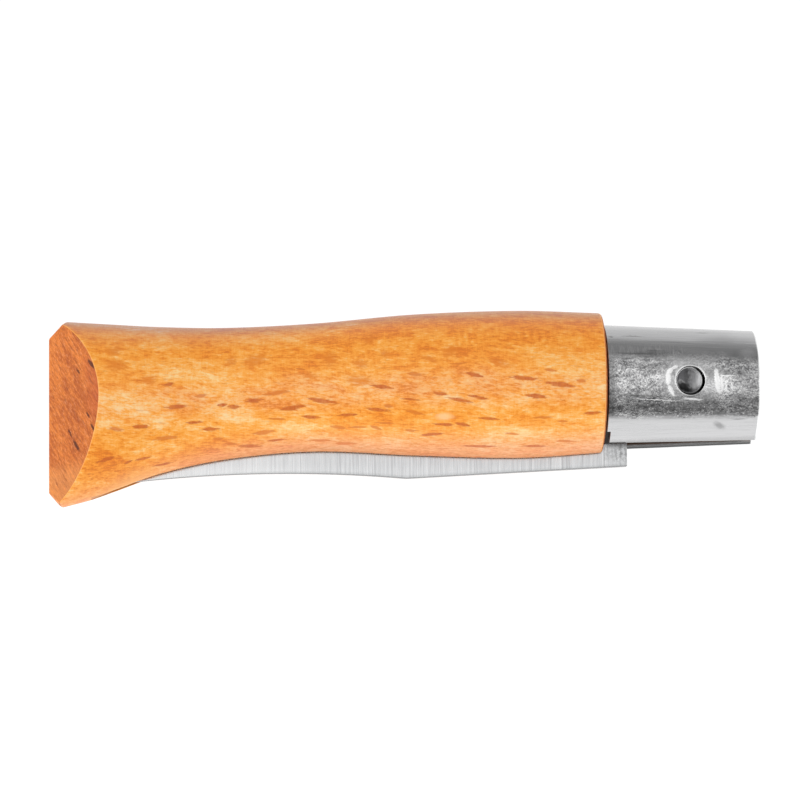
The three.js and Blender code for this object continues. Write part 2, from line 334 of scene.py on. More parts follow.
beechLook = {
    "rayTurn": 29.0,                 # degrees round X from the handle's own axes to the wood's rays
    "fibreTilt": 4.0,                # degrees that the fibres fall towards the collar
    "noises": {                      # scale along, up and across, detail, roughness
        "fibre": ((0.25, 1.5, 1.9), 3.0, 0.6),
        "strand": ((1.1, 4.4, 5.2), 3.0, 0.85),
        "mottle": ((0.7, 1.3, 1.5), 2.0, 0.7),
        "cloud": ((0.12, 0.32, 0.36), 2.0, 0.6),
        "pores": ((1.0, 5.5, 6.5), 1.0)},
    "comb": ((6.5, 0.8, 0.8), 1.0),  # fine lines across the fibres
    "middleTone": 0.46,
    "shares": {"strand": 1.7, "comb": 0.32, "mottle": 0.85, "fibre": 0.7, "cloud": 1.1},
    "tones": ((0.0, (0.75, 0.19, 0.018)), (0.22, (0.9, 0.28, 0.025)), (0.45, (0.97, 0.375, 0.045)),
              (0.68, (1.0, 0.475, 0.11)), (1.0, (1.0, 0.67, 0.3))),
    # a lighter or darker tone from one place along the handle to another; the first, on the shoulder's
    # rounding, is partly wear and partly painted highlight
    "along": ((-11.2, -10.1, 0.1), (-27.0, -22.0, 0.07), (-42.0, -36.0, -0.04)),
    # lighter streaks along the handle: from, to, height at each
    "creamLine": (-62.0, -38.0, -3.5, -6.3),
    "paleLine": (-62.0, -32.0, -2.9, -0.9),
    "pale": (0.9, 0.65, 0.42),
    "rosy": ((0.64, 0.2, 0.09), (0.98, 0.41, 0.23)),     # the belly's strands, paler and pinker as painted sheen where the side faces the belly
    "shade": (0.45, 0.18, 0.12),     # painted shade on the top of the side
    "paintedLightTint": (0.56, 0.7, 1.85),       # painted sheen on the back: what the back keeps of red, green and blue
    "fleck": (0.57, 0.115, 0.018),
    "faintFleck": (0.68, 0.16, 0.018),
    "patch": (0.74, 0.19, 0.014),
    "paleSpot": (1.0, 0.62, 0.3),
    "endGrain": (0.4, 0.08, 0.008),
    "endPale": (0.68, 0.19, 0.026),
    "endRed": (0.42, 0.07, 0.018),
    "endStreak": (0.22, 0.04, 0.008),
    "endDash": (0.05, 0.009, 0.002),
    "endDust": (0.85, 0.42, 0.2),
    "endBelly": (0.9, 0.4, 0.12),
    "endTurn": 64,                   # degrees from the handle's length to the butt's streaks
    # painted shade inside the slot
    "slot": (0.2, 0.07, 0.025),
    # partly wear, partly painted highlight on the rounded edges of the flat ends
    "wornEdgeAndHighlight": (0.96, 0.46, 0.13),
    # painted shade on the neck in the gap and notch by the collar, and further under it
    "neckRearShade": (0.025, 0.018, 0.016),
    "neckFrontShade": (0.07, 0.035, 0.02),
    "seed": 11,
    # the far side's rays: how many, lowest and highest place, half lengths, half widths
    "farMarks": {"flecks": (45, -8.5, 3.5, (0.6, 1.6), (0.16, 0.36)),
                 "faint": (30, -8.5, 4.0, (0.6, 1.5), (0.13, 0.27)),
                 "patches": (16, -1.0, 5.5, (0.8, 1.6), (0.4, 0.75))},
    # the near side's rays: along, up, half length, half width, tilt
    "flecks": (
        (-66.1, -8.7, 1.1, 0.29, 19), (-63.6, -8.9, 0.5, 0.15, 24), (-62.2, -5.1, 1.0, 0.31, 2),
        (-62.0, -8.5, 1.0, 0.18, 13), (-59.7, -9.0, 1.2, 0.15, 12), (-59.1, -0.4, 0.7, 0.25, 9),
        (-58.3, -2.9, 1.3, 0.38, 5), (-56.2, -4.6, 0.9, 0.23, 5), (-54.4, -5.3, 1.0, 0.28, 3),
        (-53.1, -2.7, 0.6, 0.25, 6), (-51.9, -2.9, 0.8, 0.32, -1), (-50.0, -7.0, 1.4, 0.22, 2),
        (-49.6, -2.2, 1.1, 0.35, 4), (-47.1, -6.4, 1.2, 0.15, 5), (-45.1, -3.0, 1.6, 0.34, 8),
        (-43.1, -4.0, 1.0, 0.27, -3), (-41.8, -2.3, 1.7, 0.34, -9), (-39.0, -3.8, 1.1, 0.23, 2),
        (-35.6, -3.3, 1.3, 0.29, -6), (-35.2, -0.8, 1.2, 0.31, -8), (-32.0, -2.2, 1.1, 0.16, -5),
        (-29.5, -5.9, 1.3, 0.19, 3), (-28.7, -1.6, 0.9, 0.27, -10), (-28.2, -4.9, 1.2, 0.2, -3),
        (-26.5, -2.3, 1.4, 0.28, -10), (-26.1, -4.9, 0.9, 0.26, -10), (-24.8, 0.5, 1.0, 0.33, -16),
        (-24.5, -2.0, 1.2, 0.24, -11), (-24.0, -7.1, 2.0, 0.15, -1), (-23.2, -4.3, 1.2, 0.19, -4),
        (-19.3, 0.1, 1.6, 0.31, -5), (-17.9, -1.9, 1.2, 0.35, -6), (-17.8, -7.1, 1.4, 0.16, 0),
        (-15.2, -0.6, 1.7, 0.36, -7), (-11.6, -3.7, 1.2, 0.22, 4)),
    "faint": (
        (-65.0, -5.4, 0.9, 0.33, -6), (-59.4, -6.3, 1.5, 0.29, 6), (-55.5, -1.7, 0.7, 0.29, 8),
        (-53.5, -6.3, 0.7, 0.21, 6), (-52.1, -6.8, 0.7, 0.18, -2), (-48.4, -5.6, 1.2, 0.32, 6),
        (-47.2, -1.4, 1.6, 0.3, 8), (-47.0, -4.2, 1.2, 0.15, -3), (-44.3, 1.3, 0.6, 0.16, -8),
        (-41.9, -6.4, 1.6, 0.15, -1), (-40.0, -5.1, 1.0, 0.26, -8), (-39.1, -6.7, 1.1, 0.21, -2),
        (-37.8, -5.1, 1.1, 0.15, 0), (-35.8, -5.2, 0.7, 0.24, -18), (-34.8, -4.7, 1.0, 0.15, -2),
        (-34.5, -2.9, 0.6, 0.28, -5), (-31.9, -5.5, 0.8, 0.17, -2), (-31.5, 0.6, 0.9, 0.34, -9),
        (-31.6, -3.6, 1.1, 0.25, -13), (-26.5, 1.8, 1.0, 0.15, 6), (-20.4, -5.9, 0.9, 0.15, -5),
        (-17.0, -4.2, 1.2, 0.19, 1), (-16.3, 1.0, 0.7, 0.23, -6), (-14.8, -4.6, 0.6, 0.18, -1),
        (-14.3, -6.6, 1.3, 0.16, 0), (-12.8, -0.2, 0.6, 0.31, -9)),
    "patches": (
        (-65.1, 3.5, 0.9, 0.7, 2), (-65.0, 1.9, 1.1, 0.75, -6), (-61.4, 0.1, 1.0, 0.6, 7),
        (-52.1, 2.3, 0.8, 0.6, 30), (-49.4, 2.4, 1.5, 0.7, 11), (-37.7, -0.1, 1.7, 0.6, -10),
        (-37.6, 1.8, 0.8, 0.5, -17), (-22.1, 1.9, 1.6, 0.5, -15), (-27.4, 3.3, 1.1, 0.75, -5),
        (-29.9, 2.4, 0.9, 0.4, -17), (-41.0, 2.4, 0.9, 0.8, 60), (-36.5, 4.8, 0.9, 0.5, 40),
        (-43.3, 0.5, 0.9, 0.4, 5), (-34.9, 3.0, 0.7, 0.5, -30)),
    "paleSpots": ((-28.3, -4.2, 0.95, 0.4, -4),),        # a pale spot on the near side
    "dashes": (                      # open pores on the butt's facet
        (-67.75, 2.0, 0.85, 0.22, -58), (-69.2, 1.4, 0.45, 0.11, -58), (-68.1, -3.7, 0.45, 0.13, -62),
        (-67.6, -5.2, 0.6, 0.14, -66), (-70.1, -5.5, 0.6, 0.11, -66), (-69.4, -7.0, 0.9, 0.18, -64)),
    # curls of the grain: along, up, spacing of their arcs, reach along and up, and how far to the left
    # the arcs' middle is
    "curls": ((-25.6, 4.7, 0.75, 1.9, 1.6, 1.9), (-18.1, 4.9, 0.95, 3.2, 1.5, 7.0)),
}


def makeBeech():
    look = beechLook
    wood = Recipe(bpy.data.materials.new("varnishedBeech"))
    straight = wood.place()
    x, y, z = wood.axes(straight)
    facing, upward, _ = wood.axes(wood.node("ShaderNodeTexCoord", out="Normal"))
    place = wood.vector("ADD", straight, wood.drift(straight, 0.16, (0.9, 0.9, 0.9), 1.0))
    tilted = wood.turned(place, turn=(0, 0, look["fibreTilt"]))
    grain = wood.turned(tilted, turn=(look["rayTurn"], 0, 0))
    noises = {name: wood.noise(grain, *values) for name, values in look["noises"].items()}
    fibre, strand, mottle, cloud, pores = noises.values()
    comb = noises["comb"] = wood.noise(straight, *look["comb"])

    # rays: each face's UV maps hold its place on the fleck, faint fleck and patch nearest to it, with 0
    # in a mark's middle and 1 at its rim
    frayed = wood.drift(straight, (1.3, 6.5, 6.5), (1.4, 1.1, 0.0))
    onMarks = [wood.vector("ADD", wood.node("ShaderNodeUVMap", {"uv_map": name}), frayed)
               for name in ("flecks", "faint", "patches")]
    lenses = []
    for onMark in onMarks[:2]:                     # lenses with pointed ends
        along, over, _ = wood.axes(onMark)
        lenses.append(wood.step(along * along * 0.8 + abs(over) * 1.15, 1.2, 0.5))
    fleck, faint = lenses
    onPatch = wood.vector("LENGTH", onMarks[2], out=1)
    patch = wood.step(onPatch + (mottle - 0.5) * 1.6 + (strand - 0.5) * 1.5, 1.4, 0.4)

    # the tone darkens towards the back: partly the figure, partly painted shade
    tone = look["middleTone"] + wood.level(y, -8.0, 7.5, 0.05, -0.17)
    for name, share in look["shares"].items():
        tone = tone + (noises[name] - 0.5) * share
    for start, stop, change in look["along"]:
        tone = tone + wood.step(x, start, stop) * change
    creamy = abs(y - wood.level(x, *look["creamLine"]) + (mottle - 0.5) * 2)
    tone = tone + wood.step(creamy, 2.9, 0.6) * 0.17 + wood.step(abs(y - 0.2), 3.0, 0.5) * 0.09
    buttEnd = wood.step(y, -4.0, 0.0) * 0.08 - wood.step(y, -4.8, -6.4) * 0.1
    tone = tone + wood.step(x, -45.0, -58.0) * buttEnd
    for cx, cy, spacing, reachX, reachY, left in look["curls"]:
        middle = wood.turned(place, scale=(1, 0.8, 0), shift=(left - cx, -cy * 0.8, 0))
        away = wood.vector("LENGTH", middle, out=1) + mottle * 0.8 + strand * 0.3
        wave = wood.node("ShaderNodeMath", {"operation": "SINE"}, {0: away * (math.tau / spacing)})
        within = wood.within(place, (cx, cy), (reachX, reachY))
        tone = tone + (wave - 0.5) * wood.step(within, 1.0, 0.0) * 0.16

    pale = wood.step(abs(y - wood.level(x, *look["paleLine"]) + (cloud - 0.5) * 3), 2.8, 0.4)
    paleStrand = wood.step(strand * 0.6 + mottle * 0.4, 0.42, 0.6)
    rosy = wood.mix(wood.step(strand, 0.32, 0.66), *look["rosy"])
    onSpot = wood.marks(place, look["paleSpots"]) + (strand - 0.5) * 1.6 + (mottle - 0.5) * 1.2
    paleSpot = wood.step(onSpot, 1.3, 0.3) * wood.step(z, 0, 1)
    pore = wood.step(pores, 0.62, 0.74)
    colour = wood.coats(
        wood.ramp(tone, look["tones"]),
        (pale * (paleStrand * 0.3 + 0.04), look["pale"]),
        # partly the belly's strands, partly painted sheen where the side faces the belly
        (wood.step(upward, -0.6, -0.97) * wood.level(x, -62, -50, 0.4, 0.65), rosy),
        (pore * 0.3, look["fleck"]),
        (patch * (0.3 + strand * 0.6), look["patch"]),
        (faint * (0.35 + strand * 0.75), look["faintFleck"]),
        (fleck * (0.05 + strand * 1.1 + comb * 0.45), look["fleck"]),
        (paleSpot * (1 - fleck) * 0.8, look["paleSpot"]),
        # painted shade where the side turns towards the back
        (wood.step(upward, 0.45, 0.8) * wood.level(x, -60, -38, 0.32, 0.14), look["shade"]))
    # painted sheen: where the normal points to the back, the colour turns greyer and bluer
    colour = wood.mix(wood.step(upward, 0.7, 0.95) * 0.7, colour, look["paintedLightTint"], "MULTIPLY")

    # cut ends: the butt's facets, the shoulder and the neck's end drink more stain
    cut = wood.step(abs(facing), 0.42, 0.6)
    across = wood.turned(wood.turned(straight, scale=(1, 1, 0.1)), turn=(0, 0, look["endTurn"]))
    vein = wood.noise(across, (0.6, 3.2, 1), 4.0, 0.8)
    grit = wood.noise(straight, 3.5, 3.0, 0.8)
    ring = wood.noise(wood.turned(across, scale=(0.08, 0.35, 1), turn=(0, 0, 12)), 1.0, 2.0, 0.6)
    vessel = wood.noise(across, (1.1, 5.0, 1), 2.0, 0.6)
    dust = wood.noise(across, (1.8, 8.0, 1), 2.0, 0.7)
    endTone = wood.step(0.5 + (ring - 0.5) * 1.6 + (vein - 0.5) * 2.3 + (grit - 0.5), 0.05, 0.95)
    redder = wood.step(abs(z) + (ring - 0.5) * 4, 4.2, 6.2) * wood.step(abs(y + 0.5), 4.5, 2.5)
    ragged = wood.vector("MULTIPLY", frayed, (0.2, 0.15, 0.0))
    dash = wood.step(wood.marks(wood.vector("ADD", straight, ragged), look["dashes"]), 1.1, 0.5)
    endColour = wood.coats(
        wood.mix(endTone, look["endGrain"], look["endPale"]),
        (wood.step(grit, 0.54, 0.72) * 0.16, look["endDust"]),
        (wood.step(dust, 0.5, 0.72) * 0.25, look["endDust"]),
        (wood.step(dust, 0.48, 0.3) * 0.3, look["endStreak"]),
        (wood.step(y, -8.0, -10.5) * 0.3, look["endBelly"]),
        (redder * 0.5, look["endRed"]),
        (wood.step(vessel + (grit - 0.5) * 0.2, 0.54, 0.74) * 0.6, look["endStreak"]),
        (dash * 0.85, look["endDash"]))

    # the rounded edges of the flat ends: partly wear, partly painted highlight
    wearAndPaintedLight = wood.step(abs(facing), 0.2, 0.34) * wood.step(abs(facing), 0.52, 0.42)
    slotMouth = wood.step(x, pointX - 3.1, pointX - 3)
    inSlot = wood.step(abs(z), 0.99, 0.95) * wood.step(y, 4.4, 4.2) * slotMouth
    # painted shade on the neck, where the collar covers it
    neck = wood.step(x, shoulderX + 0.05, shoulderX + 0.12) * wood.step(x, neckEnd - 0.1, neckEnd - 0.4)
    underCollar = wood.step(x, collarRear + 0.6, collarRear + 1.4)
    colour = wood.coats(
        colour,
        (cut, endColour),
        (wearAndPaintedLight * 0.7, look["wornEdgeAndHighlight"]),
        # painted shade inside the slot, lighter near its mouth
        (inSlot * (wood.step(x, pointX - 2, pointX + 9) * 0.45 + 0.4), look["slot"]),
        (neck, wood.mix(underCollar, look["neckRearShade"], look["neckFrontShade"])))

    relief = fibre * 0.5 + strand * 0.4 - pore * 0.3 - wood.step(vessel, 0.5, 0.72) * cut * 0.6
    return wood.paint(Base_Color=colour, Roughness=0.4 + fibre * 0.14 + cut * 0.1,
                      Normal=wood.bump(relief, 0.014), Specular_IOR_Level=0.25,
                      Coat_Weight=0.25 * (1 - cut) * (1 - neck), Coat_Roughness=0.2, Coat_IOR=1.45)


handle = {
    # share of the length; heights of back, belly and widest line; half thickness; fullness of the curve
    "sections": ((0.0, 7.62, 14.0, -1.7, 6.6, 1.8), (0.1, 7.26, 12.3, -1.4, 6.5, 1.82),
                 (0.2, 6.93, 10.05, -0.9, 6.3, 1.88), (0.32, 6.83, 8.4, -0.5, 6.2, 1.93),
                 (0.48, 7.33, 7.48, -0.1, 6.65, 1.97), (0.66, 8.36, 7.93, 0.15, 7.4, 2.0),
                 (0.85, 8.79, 8.2, 0.3, 7.9, 2.0), (1.0, 8.52, 7.6, 0.4, 7.72, 2.0)),
    "sides": 60,              # points from the back's middle to the slot's edge
    "facetSlope": 0.875,      # how fast the butt's two facets run back
    "ridgeHalf": 0.2,
    "facetFade": 18.0,        # the rings follow the facets over this length
    "rings": ((0.9, 3.5, 0.4), (3.5, 7, 0.22)),          # from the butt: from, to, spacing
    "ringStep": 0.36,         # from there to the shoulder
    "slotHalf": 0.95,
    "slotFloor": 4.0,
    "sawRadius": 25.0,
    "mouthPastPoint": 3.0,
    "endRound": 2.4,
    "slotEase": 0.09,         # rounding of the slot's two edges
    "shoulderRound": 0.3,
    "shoulderLean": 0.02,
    "neckRadius": 6.59,       # at the shoulder
    "neckEndRadius": 5.96,
    "neckChamfer": 0.25,
    "buttEase": 0.13,
    "buttLength": 6.0,
    "buttWeld": 0.08,         # points of the butt's rims that are nearer than this become one
    "endInset": 0.05,         # a narrow border inside each flat end
    "backCorner": (2.05, 1.95),
    "bellyCorner": (1.55, 1.6),
    "rivetHole": 1.66,
}


def handleSection(x, inset=0.0):
    length = shoulderX - buttX
    back, belly, widest, half, fullness = throughRows(handle["sections"], (x - buttX) / length)
    return back - inset, belly - inset, widest, half - inset, fullness


def neckSection(x):
    t = (x - shoulderX) / (neckEnd - shoulderX)
    radius = between(handle["neckRadius"], handle["neckEndRadius"], t)
    return radius, radius, 0.0, radius, 2.0


def onSection(section, angle):    # angle 0 is the back, pi the belly
    back, belly, widest, half, fullness = section
    up, out = math.cos(angle), math.sin(angle)
    reach = back - widest if up > 0 else belly + widest
    y = widest + math.copysign(reach * abs(up) ** (2 / fullness), up)
    return y, half * abs(out) ** (2 / fullness)


def angleAt(section, z):
    return math.asin(min((z / section[3]) ** (section[4] / 2), 1.0))


def bellyAt(section, z):
    return onSection(section, math.pi - angleAt(section, z))[0]


mouthX = pointX - handle["mouthPastPoint"]
mouthDrop = handle["slotFloor"] + handleSection(mouthX)[1]
sawX = mouthX + math.sqrt(handle["sawRadius"] ** 2 - (handle["sawRadius"] - mouthDrop) ** 2)


def slotBottom(x):                # the slot's floor, which runs out in the saw's arc towards the butt
    away = max(sawX - x, 0.0)
    if away > handle["sawRadius"]:
        return -99.0
    return handle["slotFloor"] - handle["sawRadius"] + math.sqrt(handle["sawRadius"] ** 2 - away**2)


def handleProfile(section, x):    # (y, z) from the back's middle round to the slot's floor
    slotHalf, ridge = handle["slotHalf"], handle["ridgeHalf"]
    floor = slotBottom(x)
    ease = min(handle["slotEase"], max(floor - bellyAt(section, slotHalf), 0.0) * 0.4)
    first = angleAt(section, ridge)
    last = math.pi - angleAt(section, slotHalf + ease)
    profile = [(section[0], 0.0)]
    for i in range(handle["sides"] + 1):
        profile.append(onSection(section, between(first, last, i / handle["sides"])))
    roundEnd = min(max((x - mouthX) / handle["endRound"], 0.16), 1.0)
    narrow = slotHalf * math.sqrt(roundEnd)              # the slot's end is round
    edge = bellyAt(section, narrow + ease)
    for turn in (30, 60, 90):
        turn = math.radians(turn)
        profile.append((edge + ease * (1 - math.cos(turn)), narrow + ease * (1 - math.sin(turn))))
    for z in (narrow, ridge, 0.0):
        profile.append((max(bellyAt(section, z), floor), z))
    return profile


def handleRing(place, spread, sectionAt):
    ring = []
    for i in range(len(handleProfile(sectionAt(place), place))):
        x = place
        for _ in range(5 if spread else 1):
            y, z = handleProfile(sectionAt(x), x)[i]
            if spread:
                x = place + spread * handle["facetSlope"] * max(z - handle["ridgeHalf"], 0.0)
        ring.append(Vector((x, y, z)))
    return ring


def handleRings():
    stop = shoulderX - handle["shoulderRound"]
    places = [buttX]
    for start, end, spacing in handle["rings"]:
        places += evenSteps(buttX + start, buttX + end, spacing)
    places += evenSteps(buttX + end, stop, handle["ringStep"]) + [stop]
    for place in places:
        spread = max(1 - (place - buttX) / handle["facetFade"], 0.0) ** 2
        yield handleRing(place, spread, handleSection)
    for turn in (30, 60, 90):
        inset = handle["shoulderRound"] * (1 - math.cos(math.radians(turn)))
        place = stop + handle["shoulderRound"] * math.sin(math.radians(turn))
        yield handleRing(place, 0, lambda x: handleSection(x, inset))
    outer, inner = handleSection(shoulderX, handle["shoulderRound"]), neckSection(shoulderX)
    for t in (0.12, 0.5, 0.9, 1.0):
        place = shoulderX + handle["shoulderLean"] * t
        yield handleRing(place, 0, lambda x: [between(a, b, t) for a, b in zip(outer, inner)])
    chamfer = handle["neckChamfer"]
    for place in evenSteps(shoulderX, neckEnd - chamfer, 1.5)[1:] + [neckEnd - chamfer]:
        yield handleRing(place, 0, neckSection)
    radius = handle["neckEndRadius"] - chamfer
    yield handleRing(neckEnd, 0, lambda x: (radius, radius, 0.0, radius, 2.0))


def cutCorner(mesh, corner, side):                       # at the butt's back (1) or its belly (-1)
    along, down = corner
    section = handleSection(buttX + along)
    height = section[0] if side > 0 else section[1]
    plane = Vector((buttX + along, side * height, 0))
    normal = Vector((-down, side * along, 0)).normalized()
    everything = mesh.verts[:] + mesh.edges[:] + mesh.faces[:]
    cut = bmesh.ops.bisect_plane(mesh, geom=everything, plane_co=plane, plane_no=normal,
                                 clear_outer=True)
    rim = [part for part in cut["geom_cut"] if isinstance(part, bmesh.types.BMEdge)]
    bmesh.ops.contextual_create(mesh, geom=rim)


def farMarks(draw, count, low, high, lengths, widths):    # rows like the near side's, at random places
    rows = []
    for _ in range(count):
        x, y = draw.uniform(buttX + 2, shoulderX - 1), draw.uniform(low, high)
        length, width = draw.uniform(*lengths), draw.uniform(*widths)
        rows.append((x, y, length, width, draw.gauss(3, 4)))
    return rows


def onMark(row, x, y):
    cx, cy, length, width, tilt = row
    c, s = math.cos(math.radians(tilt)), math.sin(math.radians(tilt))
    return ((x - cx) * c + (y - cy) * s) / length, ((y - cy) * c - (x - cx) * s) / width


def markRays(mesh):               # each face takes its place on the mark nearest to it
    draw = random.Random(beechLook["seed"])
    for name, spread in beechLook["farMarks"].items():
        farRows = farMarks(draw, *spread)
        layer = mesh.loops.layers.uv.new(name)
        for face in mesh.faces:
            x, y, z = face.calc_center_median()
            rows = [row for row in (beechLook[name] if z > 0 else farRows) if abs(row[0] - x) < 4]
            if not rows or isFlat(face):
                rows = [(x + 90, y, 1, 1, 0)]            # far from any mark
            best = min(rows, key=lambda row: sum(abs(v) for v in onMark(row, x, y)))
            for loop in face.loops:
                loop[layer].uv = onMark(best, loop.vert.co.x, loop.vert.co.y)


def isFlat(face):                 # the flat ends are the faces with many corners
    return len(face.verts) > 8


def atButt(face):
    return face.calc_center_median().x < buttX + handle["buttLength"]


def makeHandle():
    mesh = bmesh.new()
    first = chain = None
    for ring in handleRings():
        chain = sweepLine(mesh, chain, ring) if chain else drawLine(mesh, ring)
        first = first or chain
    closeLoop(mesh, chain)
    ridge = closeLoop(mesh, first[1:-1])
    middle = bmesh.ops.contextual_create(mesh, geom=[first[0], first[-1]])["edges"]
    ends = [mesh.edges.get(first[:2]), mesh.edges.get(first[-2:])]
    bmesh.ops.contextual_create(mesh, geom=ridge + middle + ends)
    mirrorAcross(mesh, "Z")
    seams = [e for e in mesh.edges if all(abs(v.co.z) < 0.001 for v in e.verts)]
    bmesh.ops.dissolve_edges(mesh, edges=[e for e in seams if e.calc_length() > 1.5], use_verts=False)
    cutCorner(mesh, handle["backCorner"], 1)
    cutCorner(mesh, handle["bellyCorner"], -1)
    flats = [f for f in mesh.faces if isFlat(f) and atButt(f)]
    rims = {v for f in flats for v in f.verts}
    bmesh.ops.remove_doubles(mesh, verts=list(rims), dist=handle["buttWeld"])
    bmesh.ops.recalc_face_normals(mesh, faces=mesh.faces)
    flats = [f for f in mesh.faces if f.normal.x < -0.5 and f.calc_area() > 0.5 and atButt(f)]
    arrises = {e for f in flats for e in f.edges if e.calc_face_angle() > math.radians(20)}
    softenEdges(mesh, list(arrises), handle["buttEase"])
    flats = [f for f in mesh.faces if isFlat(f)]
    bmesh.ops.inset_individual(mesh, faces=flats, thickness=handle["endInset"], use_even_offset=True)
    drillAcross(mesh, handle["rivetHole"])
    markRays(mesh)
    placePiece(mesh, "beechHandle", "handle_group", "handle", makeBeech())


makeHandle()


# The collar

collar = {
    "rearRadius": 7.15,
    "frontRadius": 6.5,
    "wall": 0.5,
    "slit": 3.8,
    "nearSpread": 0.75,        # how much further the near lip stands off at the rear
    "notchLength": 0.4,
    "notchHeight": 1.3,
    "rimEase": 0.06,           # bevel of the sheet's edges
    "sharp": 50,               # degrees from which an edge is shaded sharp
    "holeRadius": 1.66,
    "holeShift": (-0.34, 0.02),
    "holeRings": 8,
    "block": (2.4, 20.0),      # half size of the patch round a hole: millimetres along, degrees round
    "fineAlong": (-4.4, 5.0),  # the grid is finer here: millimetres along, degrees round
    "fineRound": (65.0, 115.0),
    "arcMark": (2.45, 0.28, 0.06),           # the punch's arc: radius round the hole, half width, depth
    "arcTurn": (125.0, 232.0),
    # blows beside the hole: from x, y to x, y, half width, depth
    "blows": ((2.62, 0.95, 2.8, -0.95, 0.24, 0.06), (3.25, 0.4, 3.35, -0.9, 0.16, 0.04),
              (3.7, 0.0, 3.75, -0.9, 0.14, 0.03), (3.6, 0.98, 4.0, 0.98, 0.25, 0.03)),
    "burr": 0.04,              # height of the hole's burr
    "burrWidth": 0.14,
    "waves": 0.012,            # how uneven the whole sheet is
}


def collarRadius(x):
    t = (x - collarRear) / (rimX - collarRear)
    return between(collar["rearRadius"], collar["frontRadius"], t)


def slitAngle(x, side=-1):        # the lip of the far (-1) or the near (1) side
    half = collar["slit"] / 2
    if side > 0:
        half += collar["nearSpread"] * (rimX - x) / (rimX - collarRear)
    return 180 - math.degrees(math.asin(half / collarRadius(x)))


def sheetAngle(x, side, share, notch):     # from the fine rows (0) past the notch's top to the lip (1)
    start = collar["fineRound"][1]
    bend = between(start, slitAngle(x), notch)
    if share <= notch:
        return between(start, bend, share / notch)
    return between(bend, slitAngle(x, side), (share - notch) / (1 - notch))


def collarColumns():
    low, high = collar["fineAlong"]
    notch = collarRear + collar["notchLength"]
    return (evenSteps(collarRear, notch, 0.2) + evenSteps(notch, low, 0.3)
            + evenSteps(low, high, 0.1) + evenSteps(high, rimX, 0.28) + [rimX])


def collarRows():                 # from the back to a lip: an angle, then a share of what is left
    low, high = collar["fineRound"]
    lip = collar["notchHeight"] - math.sqrt(collar["rearRadius"] ** 2 - (collar["slit"] / 2) ** 2)
    notchAngle = math.degrees(math.acos(lip / collar["rearRadius"]))
    notch = (notchAngle - high) / (slitAngle(collarRear) - high)
    rows = [(angle, 0.0) for angle in evenSteps(0, low, 2.5) + evenSteps(low, high, 1.0)]
    rows += [(high, share) for share in evenSteps(0, notch, 0.05) + evenSteps(notch, 1, 0.05) + [1.0]]
    return rows, notch


def groove(away, width, depth):   # how far a blow pushes the sheet in, with the lip that it raises
    lip = (away - 1.9 * width) / (0.6 * width)
    return depth * (math.exp(-((away / width) ** 2)) - 0.4 * math.exp(-(lip**2)))


def dentAt(x, y):
    shiftX, shiftY = collar["holeShift"]
    radius, width, depth = collar["arcMark"]
    away = math.hypot(x - shiftX, y - shiftY)
    turn = math.degrees(math.atan2(y - shiftY, x - shiftX)) % 360
    start, stop = collar["arcTurn"]
    ends = eased(turn, start, start + 20) * eased(turn, stop, stop - 20)
    dent = groove(abs(away - radius), width, depth) * ends
    for x1, y1, x2, y2, width, depth in collar["blows"]:
        line, spot = Vector((x2 - x1, y2 - y1)), Vector((x - x1, y - y1))
        t = min(max(spot.dot(line) / line.length_squared, 0), 1)
        dent += groove((spot - line * t).length, width, depth * (0.6 + 0.4 * math.sin(math.pi * t)))
    edge = (away - collar["holeRadius"]) / collar["burrWidth"]
    wave = 0.7 + 0.5 * noise.noise(Vector((x * 1.5, y * 1.5, 3)))
    return dent - collar["burr"] * wave * math.exp(-edge * edge)


